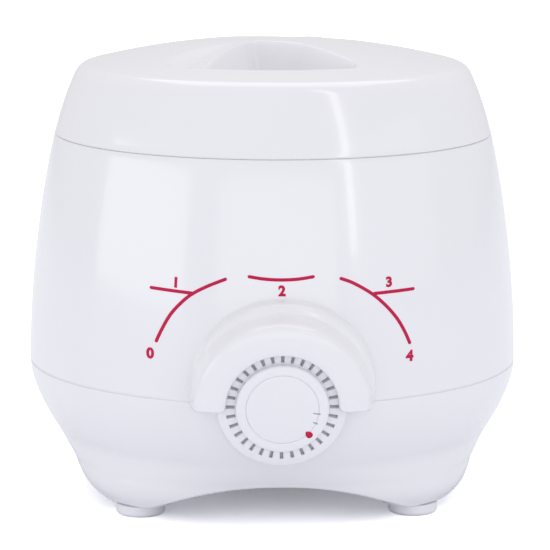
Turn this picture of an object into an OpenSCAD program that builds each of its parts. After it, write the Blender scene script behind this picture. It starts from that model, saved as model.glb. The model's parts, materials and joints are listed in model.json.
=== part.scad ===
// Wax warmer: a round electric pot warmer with a lift-off lid and a front dial.
// Millimetres. +Z is up, -Y is the front with the dial, Z = 0 is the table top.
// The origin is at the middle of the bounding box, on the table.

/* [Body] */
// Width of the body at its widest
body_w = 180; // [176:1:184]
// Height of the middle of the lid's dome
body_h = 166; // [164:1:168]
// Height of the seam between the base and the upper shell
base_seam = 48; // [47:0.5:49]
// Height of the seam under the lid
lid_seam = 132; // [131:0.5:133]
// Width of the body at the lid seam
lid_w = 160.6; // [158:0.2:162]
// Wall thickness of the moulded shells
wall = 2.6; // [2.2:0.1:3]

/* [Legs] */
// Distance of each foot from the centre planes
foot_at = 49; // [48:0.5:50]
// Radius of a rubber foot
foot_r = 8.8; // [8:0.1:9.5]
// Height of a rubber foot under the leg
foot_h = 4; // [3.5:0.1:4.5]
// Height of the arches between the legs, at their tops
arch_top = 13; // [11:0.5:14]
// Radius of the arches
arch_r = 98; // [90:1:110]

/* [Dial] */
// Height of the middle of the dial
dial_z = 49; // [48.5:0.5:50]
// How far the dial's mounting plane stands in front of the body's axis
dial_y = 90.4; // [90:0.1:91]
// Tilt of the dial's face towards the table
dial_tilt = 11; // [9:0.5:13]
// Radius of the dial's skirt
dial_r = 22.5; // [21.5:0.1:23]
// Radius of the raised middle of the dial
dial_grip_r = 16.1; // [15.5:0.1:16.5]
// Slots around the dial
dial_slots = 32; // [24:1:36]
// Radius of the opening in the hood
hood_opening_r = 19.5; // [19.2:0.1:20]

/* [Lid] */
// Radius of each finger well in the lid
lid_well_r = 30; // [28:0.5:31]
// How far the middle of each finger well lies from the middle of the grip
lid_well_at = 40.5; // [39:0.5:42]
// How far each finger well is shifted sideways, which gives the grip its S shape
lid_well_shift = 4; // [0:0.5:6]
// Height of the floors of the finger wells
lid_well_floor = 151; // [149:0.5:154]
// How far behind the lid's axis the middle of the grip lies
grip_back = 2; // [0:0.5:4]
// Radius of the lip around the finger wells
lid_lip_r = 56.5; // [55:0.5:58]

/* [Pot] */
// Inside radius of the wax pot
pot_r = 54; // [52:0.5:54.5]
// Height of the pot's floor above the table
pot_floor = 71; // [71:0.5:74]
// Wall thickness of the pot
pot_wall = 1; // [0.8:0.1:1.2]

/* [Cord inlet] */
// Height of the cord gland at the back
gland_z = 30; // [28:0.5:32]
// Radius of the gland's bore, for the cord
gland_bore_r = 3.6; // [3:0.1:4]

/* [Hidden] */
$fn = 64;

shell_white = [0.93, 0.93, 0.96];
body_r = body_w / 2;
lid_r = lid_w / 2;

// The hood reaches further forward than the gland reaches back. This shift puts the
// middle of the bounding box over the origin.
hood_face = 6.5;
hood_rise = 25.5;
front_reach = dial_y + (hood_face - 0.5) * cos(dial_tilt) + hood_rise * sin(dial_tilt);
rear_reach = 91.2;
axis_y = (front_reach - rear_reach) / 2;

// Upper shell
rim_chamfer = 0.6;
rim_in_r = lid_r - 2.7;
deck_z = 126;
deck_t = 2.5;
deck_hole_r = 58.6;

// Hood: the room behind it, and the block that cuts it flat at the seam
hood_clear_r = 28.6;
hood_cut = 120;

// Base shell
leg_z = foot_h;
floor_top = 16.5;
floor_bottom = 13.5;
waist_r = 74.2;
waist_z = 15;
foot_edge_r = 68;
pocket_r = 68;
round_z = 24;
square_n = 2.95;
loft_sides = 72;
post_r = 6.2;
post_top = 40;
well_r = 4.2;
screw_seat = 30;
screw_r = 1.9;

// Bowl stack, from the deck up
gasket_t = 0.8;
bowl_wall = 1.5;
bowl_in_r = 56;
bowl_bottom = 68;
bowl_flange_t = 1.2;
bowl_flange_z = deck_z + gasket_t;
bowl_flange_r = 66;
bowl_lug_at = 69;
bowl_lug_r = 4;
pot_rim_z = bowl_flange_z + bowl_flange_t;
pot_rim_r = 61;
bowl_screw_angles = [90, 210, 330];

// Dial
panel_t = 2.6;
panel_r = 22.4;
panel_ring_t = 1.4;
panel_screw_at = 14;
hub_r = 5.4;
hub_end = -2.4;
shaft_r = 3;
fit_gap = 0.05;
slot_in = 16.4;
slot_out = 19.5;
slot_w = 1.1;
slot_floor = 1.6;
ring_h = 3.4;
cap_r = 12.6;

function lerp(a, b, t) = a + (b - a) * t;
function smooth(t) = let (s = min(1, max(0, t))) s * s * (3 - 2 * s);
function bezier(p, t) = pow(1 - t, 3) * p[0] + 3 * pow(1 - t, 2) * t * p[1]
    + 3 * (1 - t) * t * t * p[2] + pow(t, 3) * p[3];
function curve(p, steps, from = 0) = [for (i = [from : steps]) bezier(p, i / steps)];
function inset(points, by) = [for (p = points) p - by];
function reversed(points) = [for (i = [len(points) - 1 : -1 : 0]) points[i]];

// Side of the upper shell, from the base seam up to the lid seam, as [radius, height]
side_curve = [[body_r, base_seam], [body_r, base_seam + 31],
    [lid_r + 4.7, lid_seam - 19], [lid_r, lid_seam]];

// Side, shoulder and dome of the lid
dome_edge_r = 68;
dome_radius = 275;
function dome_z(r) = body_h - r * r / (2 * dome_radius);
lid_side = [[lid_r, lid_seam], [lid_r - 1.9, lid_seam + 7.5],
    [lid_r - 4.2, lid_seam + 14.5], [lid_r - 7.2, lid_seam + 21]];
lid_shoulder = [lid_side[3], [lid_r - 8.2, lid_seam + 23.4],
    [lid_r - 9.6, lid_seam + 25], [dome_edge_r, dome_z(dome_edge_r)]];

// Base: the bowl narrows to a waist, and the legs run on down from it
bowl_curve = [[body_r, base_seam], [body_r - 0.2, 39], [82.5, 26], [waist_r, waist_z]];
leg_curve = [[waist_r, waist_z], [72.5, 11.5], [71.5, 6.5], [foot_edge_r, leg_z]];

// The plan of the base is round at the top and a rounded square at the feet
function squareness(z) = lerp(2, square_n, smooth((round_z - z) / 16));
function plan_r(a, z, q) = let (n = squareness(z))
    a / pow(pow(abs(cos(q)), n) + pow(abs(sin(q)), n), 1 / n);

module on_axis() {
    translate([0, axis_y, 0]) children();
}

// Local +Z runs out of the dial along its axis, and local +Y runs up its face
module at_dial() {
    translate([0, -dial_y, dial_z]) rotate([90 + dial_tilt, 0, 0]) children();
}

module on_dial() {
    on_axis() at_dial() children();
}

// The same place as a point on the dial's own axes
function dial_point(x, up, out) = [x,
    axis_y - dial_y - out * cos(dial_tilt) - up * sin(dial_tilt),
    dial_z - out * sin(dial_tilt) + up * cos(dial_tilt)];

module at_feet() {
    for (x = [-1, 1], y = [-1, 1]) translate([x * foot_at, y * foot_at, 0]) children();
}

// A round wire or tube along smoothed points
function spline(p, i, t) = let (
    a = p[max(0, i - 1)], b = p[i], c = p[i + 1], d = p[min(len(p) - 1, i + 2)])
    0.5 * ((2 * b) + (c - a) * t + (2 * a - 5 * b + 4 * c - d) * t * t
        + (3 * b - a - 3 * c + d) * t * t * t);
function smooth_path(p, n) = [
    for (i = [0 : len(p) - 2], k = [0 : n - 1]) spline(p, i, k / n), p[len(p) - 1]];
function unit(v) = v / norm(v);
function heading(p, i) = unit(p[min(len(p) - 1, i + 1)] - p[max(0, i - 1)]);

module tube(points, r, side, sides = 8) {
    path = smooth_path(points, 3);
    last = len(path) - 1;
    rings = [for (i = [0 : last]) let (
        t = heading(path, i), u = unit(cross(side, t)), v = cross(t, u))
        for (k = [0 : sides - 1]) let (a = 360 * k / sides)
            path[i] + r * (cos(a) * u + sin(a) * v)];
    faces = [
        [for (k = [0 : sides - 1]) k],
        [for (k = [sides - 1 : -1 : 0]) last * sides + k],
        for (i = [0 : last - 1], k = [0 : sides - 1], h = [0, 1]) let (m = (k + 1) % sides)
            h == 0 ? [i * sides + k, (i + 1) * sides + k, (i + 1) * sides + m]
                : [i * sides + k, (i + 1) * sides + m, i * sides + m]
    ];
    polyhedron(points = rings, faces = faces, convexity = 6);
}

// A screw along +Z: the head lies below Z = 0, and the shank above it
module screw(shank_r, length, head_r, head_h) {
    translate([0, 0, -head_h]) difference() {
        cylinder(r = head_r, h = head_h);
        translate([0, 0, -1]) cylinder(r = head_r * 0.5, h = 1 + head_h * 0.5, $fn = 6);
    }
    cylinder(r = shank_r, h = length);
}

module lid_body(by) {
    points = concat(
        [[0, lid_seam - 1]], [[lid_r - by, lid_seam - 1]],
        inset(curve(lid_side, 6), [by, 0]),
        inset(curve(lid_shoulder, 6, 1), [by, by]),
        [for (r = [dome_edge_r - 6 : -8 : 4]) [r, dome_z(r) - by]],
        [[0, body_h - by]]);
    rotate_extrude() polygon(points);
}

// A finger well: a round bowl, cut off in front by a bowl around the lid's own axis
module finger_well(by) {
    r = lid_well_r + by;
    floor_z = lid_well_floor - by;
    top_z = body_h + 4;
    intersection() {
        translate([lid_well_shift, -lid_well_at, 0]) rotate_extrude() polygon([
            [0, floor_z], [r - 11, floor_z], [r - 7.6, floor_z + 0.8], [r - 5, floor_z + 2.6],
            [r - 3.2, floor_z + 5.2], [r - 1.4, floor_z + 9.4], [r, floor_z + 14], [r, top_z],
            [0, top_z]]);
        translate([0, -grip_back, 0]) rotate_extrude() polygon([
            [0, floor_z], [lid_lip_r + by - 9, floor_z], [lid_lip_r + by - 5, floor_z + 1.8],
            [lid_lip_r + by - 2, floor_z + 5.4], [lid_lip_r + by, floor_z + 9.4],
            [lid_lip_r + by, top_z], [0, top_z]]);
    }
}

// The lid as one solid. Taken in by its wall's thickness, it is the hollow underneath.
module lid_solid(by) {
    difference() {
        lid_body(by);
        translate([0, grip_back, 0]) for (q = [0, 180]) rotate([0, 0, q]) finger_well(by);
    }
}

module lid() {
    t = 2.4;
    lip_out = rim_in_r - 0.4;
    lip_in = lip_out - 2.2;
    color(shell_white) on_axis() {
        difference() {
            lid_solid(0);
            lid_solid(t);
            translate([0, 0, lid_seam - 2]) cylinder(r = lid_r + 2, h = 2);
            translate([0, 0, lid_seam]) rotate_extrude() polygon([
                [lid_r - rim_chamfer, -0.01], [lid_r + 1, -0.01],
                [lid_r + 1, rim_chamfer], [lid_r, rim_chamfer]]);
        }
        rotate_extrude() polygon([
            [lip_in, lid_seam - 4.5], [lip_out - 0.6, lid_seam - 4.5], [lip_out, lid_seam - 3.9],
            [lip_out, lid_seam], [lid_r - 2, lid_seam], [lid_r - 2, lid_seam + 2],
            [lip_in, lid_seam + 2]]);
    }
}

module wax_pot() {
    out = pot_r + pot_wall;
    under = pot_floor - pot_wall;
    corner = 9;
    profile = [
        [0, under],
        for (a = [-90 : 15 : 0]) [out - corner + corner * cos(a), under + corner + corner * sin(a)],
        [out, pot_rim_z], [pot_rim_r, pot_rim_z], [pot_rim_r + 0.3, pot_rim_z + 0.6],
        [pot_rim_r, pot_rim_z + 1.2], [pot_r + 0.8, pot_rim_z + 1.2], [pot_r, pot_rim_z + 0.4],
        for (a = [0 : -15 : -90]) [out - corner + (corner - pot_wall) * cos(a),
            under + corner + (corner - pot_wall) * sin(a)],
        [0, pot_floor]
    ];
    color([0.78, 0.79, 0.8]) on_axis() rotate_extrude() polygon(profile);
}

module hood() {
    face = hood_face;
    rotate_extrude() polygon([
        [hood_opening_r, 3.9], [hood_opening_r, face - 1.2], [hood_opening_r + 0.8, face - 0.4],
        [22.8, face], [hood_rise, face - 0.5], [28.3, face - 1.2], [29.6, face - 2.3],
        [30.4, face - 4.2], [30.9, face - 7.5], [31.4, face - 9.8], [33.2, face - 10.9], [34.3, face - 12.8],
        [34.8, face - 17], [hood_clear_r, face - 17], [hood_clear_r, face - 10.5], [28, face - 7.3],
        [26.6, face - 4.4], [24, 3.9]]);
}

module upper_shell() {
    out = curve(side_curve, 14);
    in = inset(curve(side_curve, 14), [wall, 0]);
    top = len(out) - 1;
    profile = concat(
        [for (i = [0 : top - 1]) out[i]],
        [[lid_r + 0.1, lid_seam - rim_chamfer], [lid_r - rim_chamfer, lid_seam],
         [rim_in_r, lid_seam], [rim_in_r, deck_z], [deck_hole_r, deck_z],
         [deck_hole_r, deck_z - deck_t]],
        [[in[top - 1][0] - 3, deck_z - deck_t]],
        [for (i = [top - 2 : -1 : 0]) in[i]]);
    boss_r = 4.6;
    boss_top = 66;
    rib_len = 15.6;
    rib_t = 2.5;
    bowl_boss_r = 3.8;
    pilot_r = 1.45;
    color(shell_white) on_axis() difference() {
        union() {
            difference() {
                rotate_extrude() polygon(profile);
                at_dial() translate([0, 0, -16]) cylinder(r = hood_clear_r, h = 30);
            }
            at_dial() hood();
            at_feet() translate([0, 0, post_top + 0.2])
                cylinder(r = boss_r, h = boss_top - post_top - 0.2);
            for (q = [45, 135, 225, 315]) rotate([0, 0, q])
                translate([foot_at * sqrt(2) + 3, -rib_t / 2, base_seam + 3.5])
                    cube([rib_len, rib_t, boss_top - base_seam - 3.5]);
            for (q = bowl_screw_angles) rotate([0, 0, q])
                translate([bowl_lug_at, 0, deck_z - deck_t - 9]) cylinder(r = bowl_boss_r, h = 10);
        }
        translate([-hood_cut / 2, -hood_cut, base_seam - hood_cut / 2])
            cube([hood_cut, hood_cut / 2, hood_cut / 2]);
        at_feet() translate([0, 0, post_top]) cylinder(r = screw_r + 0.05, h = 17);
        for (q = bowl_screw_angles) rotate([0, 0, q])
            translate([bowl_lug_at, 0, deck_z - 11]) cylinder(r = pilot_r, h = 12);
    }
}

module base_loft() {
    levels = concat(reversed(curve(leg_curve, 5)), reversed(curve(bowl_curve, 9)));
    rows = [for (i = [0 : len(levels) - 1]) if (i != 5) levels[i]];
    count = len(rows);
    ring = [for (p = rows, k = [0 : loft_sides - 1]) let (
        q = 360 * k / loft_sides, r = plan_r(p[0], p[1], q)) [r * cos(q), r * sin(q), p[1]]];
    faces = [
        [for (k = [0 : loft_sides - 1]) k],
        [for (k = [loft_sides - 1 : -1 : 0]) (count - 1) * loft_sides + k],
        for (i = [0 : count - 2], k = [0 : loft_sides - 1]) let (m = (k + 1) % loft_sides)
            [i * loft_sides + k, (i + 1) * loft_sides + k,
             (i + 1) * loft_sides + m, i * loft_sides + m]
    ];
    polyhedron(points = ring, faces = faces, convexity = 4);
}

module base_cavity() {
    side = [for (p = curve(bowl_curve, 9)) if (p[1] > floor_top + 1) p - [wall, 0]];
    rotate_extrude() polygon(concat(
        [[0, base_seam + 1], [side[0][0], base_seam + 1]], side,
        [[waist_r - wall - 1, floor_top], [0, floor_top]]));
}

module floor_vents() {
    vent_len = 11;
    vent_w = 3;
    for (q = [0 : 20 : 340]) rotate([0, 0, q]) for (r = [18, 34])
        translate([r, -vent_w / 2, floor_bottom - 1])
            cube([vent_len, vent_w, floor_top - floor_bottom + 2]);
}

module base_shell() {
    lip = 2.5;
    gland_pad_face = 86;
    gland_pad_r = 10.5;
    gland_hole_r = 6.5;
    gland_seat_r = 9.6;
    spindle_hole_r = 7;
    color(shell_white) on_axis() difference() {
        union() {
            difference() {
                base_loft();
                base_cavity();
                for (q = [0, 90]) rotate([0, 0, q]) translate([0, 100, arch_top - arch_r])
                    rotate([90, 0, 0]) cylinder(r = arch_r, h = 200, $fn = 128);
                difference() {
                    translate([0, 0, -1]) cylinder(r = pocket_r, h = floor_bottom + 1);
                    at_feet() cylinder(r = foot_r + 2.5, h = floor_bottom + 1);
                }
                floor_vents();
            }
            at_feet() translate([0, 0, floor_bottom]) cylinder(r = post_r, h = post_top - floor_bottom);
            difference() {
                translate([0, 0, base_seam - 4]) cylinder(r = body_r - wall - 0.4, h = 4 + lip);
                translate([0, 0, base_seam - 5]) cylinder(r = body_r - wall - 2.6, h = 6 + lip);
                translate([-32, -100, base_seam]) cube([64, 60, 2 * lip]);
            }
            at_dial() translate([0, 0, -6]) cylinder(r = panel_r, h = 6);
            translate([0, gland_pad_face, gland_z]) rotate([90, 0, 0])
                cylinder(r = gland_pad_r, h = 10);
        }
        at_feet() {
            translate([0, 0, -1]) cylinder(r = well_r, h = screw_seat + 1);
            cylinder(r = screw_r + 0.3, h = post_top + 1);
        }
        at_dial() {
            translate([0, 0, -26]) cylinder(r = panel_r - panel_ring_t, h = 26 - panel_t);
            translate([0, 0, -10]) cylinder(r = spindle_hole_r, h = 12);
            for (x = [-1, 1]) translate([x * panel_screw_at, 0, 0]) {
                translate([0, 0, -10]) cylinder(r = 2.15, h = 12);
                translate([0, 0, -2.2]) cylinder(r1 = 2.15, r2 = 4.4, h = 2.25);
            }
        }
        translate([0, gland_pad_face + 4, gland_z]) rotate([90, 0, 0])
            cylinder(r = gland_hole_r, h = 20);
        translate([0, gland_pad_face + 14, gland_z]) rotate([90, 0, 0])
            cylinder(r = gland_seat_r, h = 14);
    }
}

module foot(x, y) {
    edge = 1.2;
    color([0.86, 0.86, 0.89]) on_axis() translate([x * foot_at, y * foot_at, 0]) {
        rotate_extrude() polygon([
            [0, 0], [foot_r - edge, 0], [foot_r - edge * 0.3, edge * 0.3], [foot_r, edge],
            [foot_r, foot_h - 0.2], [foot_r - 0.2, foot_h], [well_r - 0.2, foot_h],
            [well_r - 0.2, foot_h + 5], [0, foot_h + 5]]);
    }
}

module foot_front_left() { foot(-1, -1); }
module foot_front_right() { foot(1, -1); }
module foot_back_left() { foot(-1, 1); }
module foot_back_right() { foot(1, 1); }

module heating_bowl() {
    out = bowl_in_r + bowl_wall;
    corner = 10;
    bowl_top = bowl_flange_z + bowl_flange_t;
    color([0.72, 0.73, 0.75]) on_axis() difference() {
        union() {
            rotate_extrude() polygon([
                [0, bowl_bottom],
                for (a = [-90 : 15 : 0]) [out - corner + corner * cos(a),
                    bowl_bottom + corner + corner * sin(a)],
                [out, bowl_flange_z], [bowl_flange_r, bowl_flange_z], [bowl_flange_r, bowl_top],
                [bowl_in_r, bowl_top],
                for (a = [0 : -15 : -90]) [out - corner + (corner - bowl_wall) * cos(a),
                    bowl_bottom + corner + (corner - bowl_wall) * sin(a)],
                [0, bowl_bottom + bowl_wall]]);
            for (q = bowl_screw_angles) rotate([0, 0, q]) translate([0, 0, bowl_flange_z])
                difference() {
                    union() {
                        translate([bowl_lug_at, 0, 0]) cylinder(r = bowl_lug_r, h = bowl_flange_t);
                        translate([bowl_flange_r - 3, -bowl_lug_r, 0])
                            cube([bowl_lug_at - bowl_flange_r + 3, 2 * bowl_lug_r, bowl_flange_t]);
                    }
                    translate([0, 0, -1]) cylinder(r = bowl_in_r + 2, h = 4);
                }
            translate([fuse_stud[0], fuse_stud[1], bowl_bottom - 11]) cylinder(r = 2, h = 11.5);
        }
        for (q = bowl_screw_angles) rotate([0, 0, q])
            translate([bowl_lug_at, 0, bowl_flange_z - 1]) cylinder(r = 1.7, h = 4);
    }
}

module bowl_gasket() {
    color([0.75, 0.3, 0.25]) on_axis() translate([0, 0, deck_z]) difference() {
        cylinder(r = bowl_flange_r - 0.5, h = gasket_t);
        translate([0, 0, -1]) cylinder(r = deck_hole_r + 0.6, h = gasket_t + 2);
    }
}

module bowl_screws() {
    color([0.7, 0.7, 0.72]) on_axis() for (q = bowl_screw_angles) rotate([0, 0, q])
        translate([bowl_lug_at, 0, bowl_flange_z + bowl_flange_t]) mirror([0, 0, 1])
            screw(1.4, 10, 2.8, 2);
}

heater_in = bowl_in_r + bowl_wall + 0.1;
heater_out = heater_in + 2.8;
heater_low = 80;
heater_high = 102;
lug_x = 5;
lug_t = 1.5;
clamp_y = 65;
clamp_z = 91;
pad_angle = 22;

module heater_band() {
    color([0.62, 0.6, 0.56]) on_axis() difference() {
        union() {
            rotate([0, 0, 95]) rotate_extrude(angle = 350) polygon([
                [heater_in, heater_low], [heater_out, heater_low],
                [heater_out, heater_high], [heater_in, heater_high]]);
            for (s = [-1, 1]) translate([s * (lug_x + lug_t / 2) - lug_t / 2, 57.7, clamp_z - 6])
                cube([lug_t, 11.3, 12]);
            for (s = [-1, 1]) rotate([0, 0, 90 + s * pad_angle])
                translate([heater_out - 0.6, -3, heater_low + 3]) cube([3.1, 6, 7]);
        }
        translate([-20, clamp_y, clamp_z]) rotate([0, 90, 0]) cylinder(r = 2.2, h = 40);
    }
}

module clamp_screw() {
    nut_x = -lug_x - lug_t - 3.2;
    color([0.7, 0.7, 0.72]) on_axis() translate([0, clamp_y, clamp_z]) {
        translate([lug_x + lug_t, 0, 0]) rotate([0, -90, 0]) screw(screw_r, 17, 3.6, 2.4);
        translate([nut_x, 0, 0]) rotate([0, 90, 0]) difference() {
            cylinder(r = 3.9, h = 3.2, $fn = 6);
            translate([0, 0, -1]) cylinder(r = 2, h = 6);
        }
    }
}

module insulation_sleeve() {
    color([0.9, 0.87, 0.78]) on_axis() rotate([0, 0, 90 + 32]) rotate_extrude(angle = 296)
        polygon([[61.2, 74], [64.3, 74], [64.6, 78], [64.6, 110], [64.3, 113], [61.2, 113]]);
}

module thermostat() {
    plate = [37.2, 14, 1.6];
    plate_at = -panel_t - plate[2];
    box = [30, 26, 18];
    tab = [6.3, 0.8, 7];
    color([0.85, 0.82, 0.74]) on_dial() difference() {
        union() {
            translate([-plate[0] / 2, -plate[1] / 2, plate_at]) cube(plate);
            translate([-box[0] / 2, -box[1] / 2, plate_at - box[2]]) cube(box);
            for (x = [-8, 8]) translate([x - tab[0] / 2, -9.4, plate_at - box[2] - 6.3]) cube(tab);
        }
        translate([0, 0, -15]) cylinder(r = shaft_r + fit_gap, h = 20);
        for (x = [-1, 1]) translate([x * panel_screw_at, 0, -7.6])
            cylinder(r = screw_r + 0.05, h = 10);
    }
}

module thermostat_shaft() {
    color([0.75, 0.75, 0.77]) on_dial() difference() {
        translate([0, 0, -14.5]) cylinder(r = shaft_r, h = 17.4);
        translate([-5, 2, hub_end + 0.2]) cube([10, 5, 20]);
    }
}

module thermostat_screws() {
    color([0.7, 0.7, 0.72]) on_dial() for (x = [-1, 1]) translate([x * panel_screw_at, 0, 0]) {
        translate([0, 0, -7.3]) cylinder(r = screw_r, h = 6);
        translate([0, 0, -2.1]) cylinder(r1 = screw_r, r2 = 4, h = 2);
    }
}

bulb_from = [22, -20 + axis_y, 64.8];
bulb_len = 44;
bulb_r = 3;

module sensor_bulb() {
    color([0.72, 0.45, 0.3]) translate(bulb_from) rotate([-90, 0, 0])
        cylinder(r = bulb_r, h = bulb_len);
}

module capillary_tube() {
    start = dial_point(15.1, 6, -16);
    points = [start, start + [5, 0.6, 0], start + [12, 6, 0.6], [34, -60 + axis_y, 60],
        [37, -48 + axis_y, 61.5], [35, -38 + axis_y, 62.5], [28.5, -31 + axis_y, 63.8],
        [22.4, -26 + axis_y, 64.7], bulb_from - [0, 0.1, 0]];
    color([0.72, 0.45, 0.3]) tube(points, 0.9, [0, 0, 1]);
}

module bulb_clip() {
    y = bulb_from[1] + bulb_len / 2;
    color([0.7, 0.7, 0.72]) translate([bulb_from[0], y + 4, 0]) rotate([90, 0, 0])
        linear_extrude(8) polygon([
            [-9, bowl_bottom - 0.1], [-9, bowl_bottom - 0.9], [-4.4, bowl_bottom - 0.9],
            [-4.4, 60.6], [4.4, 60.6], [4.4, bowl_bottom - 0.9], [9, bowl_bottom - 0.9],
            [9, bowl_bottom - 0.1], [3.6, bowl_bottom - 0.1], [3.6, 61.4], [-3.6, 61.4],
            [-3.6, bowl_bottom - 0.1]]);
}

module dial_knob() {
    color(shell_white) on_dial() difference() {
        rotate_extrude() polygon([
            [hub_r, hub_end], [hub_r, 3.4], [14.4, 3.4], [14.4, 0.9], [20.6, 0.9], [20.9, 0.5],
            [dial_r, 0.5], [dial_r, 2.4], [dial_r - 0.7, 3], [20.1, ring_h - 0.1],
            [19.8, ring_h], [dial_grip_r, ring_h], [dial_grip_r, 5.5],
            [dial_grip_r - 0.3, 6], [dial_grip_r - 1, 6.3], [cap_r + 0.9, 6.4],
            [cap_r + 0.1, 6.1], [cap_r + 0.1, 4.8], [0, 4.8], [0, hub_end]]);
        difference() {
            translate([0, 0, hub_end - 1]) cylinder(r = shaft_r + fit_gap, h = 6.4);
            translate([-5, 2 + fit_gap, hub_end + 0.15]) cube([10, 5, 20]);
        }
        for (k = [0 : dial_slots - 1]) rotate([0, 0, 360 * k / dial_slots])
            translate([slot_in, -slot_w / 2, slot_floor]) cube([slot_out - slot_in, slot_w, 4]);
    }
}

module dial_cap() {
    color(shell_white) on_dial() rotate_extrude() polygon([
        [0, 4.8], [cap_r, 4.8], [cap_r, 5.9], [cap_r - 0.5, 6.1], [0, 6.1]]);
}

module dial_clip() {
    color([0.6, 0.62, 0.66]) on_dial() rotate([0, 0, 120]) rotate_extrude(angle = 300)
        polygon([
            [hub_r + 0.05, -2.2], [hub_r + 0.65, -2.2], [hub_r + 0.65, -0.4], [hub_r + 0.05, -0.4]]);
}

fuse_stud = [-14, 12];
fuse_y = -6;
fuse_z = 65.5;
fuse_r = 2.2;
fuse_half = 7;

module thermal_fuse() {
    color([0.8, 0.8, 0.82]) on_axis() translate([fuse_stud[0] - fuse_half, fuse_y, fuse_z])
        rotate([0, 90, 0]) {
            cylinder(r = fuse_r, h = 2 * fuse_half);
            translate([0, 0, -4]) cylinder(r = 0.6, h = 2 * fuse_half + 8);
        }
}

module fuse_bracket() {
    color([0.7, 0.7, 0.72]) on_axis() translate([fuse_stud[0], 0, 0]) difference() {
        translate([-6, -12, 62.2]) cube([12, 30, 1]);
        translate([0, fuse_stud[1], 60]) cylinder(r = 2.15, h = 6);
    }
}

module fuse_nut() {
    color([0.7, 0.7, 0.72]) on_axis() translate([fuse_stud[0], fuse_stud[1], 59]) difference() {
        cylinder(r = 3.9, h = 3.2, $fn = 6);
        translate([0, 0, -1]) cylinder(r = 2.1, h = 6);
    }
}

block_y = 40;
block_w = 36;
block_d = 17;
block_h = 13;
block_pitch = 12;

module terminal_block() {
    color([0.88, 0.88, 0.85]) on_axis() translate([0, block_y, floor_top]) difference() {
        translate([-block_w / 2, -block_d / 2, 0]) cube([block_w, block_d, block_h]);
        for (k = [-1 : 1]) translate([k * block_pitch, 0, 0]) {
            translate([0, -block_d, 6]) rotate([-90, 0, 0]) cylinder(r = 1.6, h = 2 * block_d);
            for (y = [-4.5, 4.5]) translate([0, y, 8.5]) cylinder(r = 2.4, h = block_h);
        }
        for (k = [-0.5, 0.5]) translate([k * block_pitch, 0, -1]) cylinder(r = 1.6, h = block_h + 2);
    }
}

module terminal_screws() {
    color([0.8, 0.7, 0.4]) on_axis() translate([0, block_y, floor_top])
        for (k = [-1 : 1], y = [-4.5, 4.5]) translate([k * block_pitch, y, 8.6])
            difference() {
                cylinder(r = 2.2, h = 3);
                translate([-3, -0.4, 2.2]) cube([6, 0.8, 2]);
            }
}

module cord_gland() {
    color([0.2, 0.2, 0.22]) on_axis() translate([0, 0, gland_z]) rotate([-90, 0, 0])
        rotate_extrude() polygon([
            [gland_bore_r, 72.5], [6.3, 72.5], [6.3, 86.1], [9, 86.1], [9, 88.1], [8.4, 88.7],
            [6.9, 88.7], [6.5, 90.8], [6, rear_reach], [gland_bore_r, rear_reach]]);
}

module gland_nut() {
    color([0.2, 0.2, 0.22]) on_axis() translate([0, 75.9, gland_z]) rotate([90, 0, 0])
        difference() {
            cylinder(r = 9.4, h = 3, $fn = 6);
            translate([0, 0, -1]) cylinder(r = 6.4, h = 6);
        }
}

module case_screws() {
    color([0.7, 0.7, 0.72]) on_axis() at_feet() translate([0, 0, screw_seat])
        screw(screw_r, 24, 3.7, 2.6);
}

wire_r = 1.1;
block_back = block_y + block_d / 2 + axis_y;
block_front = block_y - block_d / 2 + axis_y;
terminal_z = floor_top + 6;

// A wire end pushed into the terminal block from the front
function block_entry(k) = [
    [k * block_pitch, block_front + 3, terminal_z], [k * block_pitch, block_front - 4, terminal_z]];

module live_wire() {
    tab = dial_point(-8, -9, -28.6);
    color([0.45, 0.28, 0.15]) tube(concat(block_entry(-1), [[-18, 20, 24], [-22, 0, 27],
        [-20, -25, 30], [-13, -44, 36], tab + [0, 9, 0.8], tab + [0, 4, 0.6], tab]), wire_r, [1, 0, 0]);
}

module switched_wire() {
    tab = dial_point(8, -9, -28.6);
    fuse_end = [fuse_stud[0] + fuse_half + 4.1, fuse_y + axis_y, fuse_z];
    color([0.15, 0.15, 0.17]) tube([tab, tab + [0, 4, 0.6], tab + [-1, 10, 2.5],
        [5, -28, 52], [6, -14, 58], [4, -5, 63], fuse_end + [4, 0, -0.4], fuse_end],
        wire_r, [0.3, 1, -0.8]);
}

module fused_wire() {
    fuse_end = [fuse_stud[0] - fuse_half - 4.1, fuse_y + axis_y, fuse_z];
    q = 90 + pad_angle;
    pad = [(heater_out + 1) * cos(q), (heater_out + 1) * sin(q) + axis_y, heater_low + 2.9];
    color([0.15, 0.15, 0.17]) tube([fuse_end, fuse_end - [5, 0, 0.6], [-38, 6, 62.5],
        [-44, 22, 60], [-43, 38, 60], [-38, 52, 63], [-31, 61.5, 69], pad - [0, 0, 6], pad],
        wire_r, [1, 0.6, 0.2]);
}

module neutral_wire() {
    q = 90 - pad_angle;
    pad = [(heater_out + 1) * cos(q), (heater_out + 1) * sin(q) + axis_y, heater_low + 2.9];
    color([0.2, 0.35, 0.7]) tube(concat(block_entry(1), [[17, 26, 27], [26, 30, 36], [30, 44, 48],
        [27, 56, 60], pad - [0, 0, 10], pad - [0, 0, 5], pad]), wire_r, [1, -0.4, 0.2]);
}

module earth_wire() {
    stud = [fuse_stud[0], fuse_stud[1] + axis_y, 56.9];
    color([0.35, 0.6, 0.25]) tube(concat(block_entry(0), [[-3, 26, 27], [-10, 20, 36],
        stud - [0, 0, 10], stud - [0, 0, 4], stud]), wire_r, [1, 0.3, 0]);
}

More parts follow.
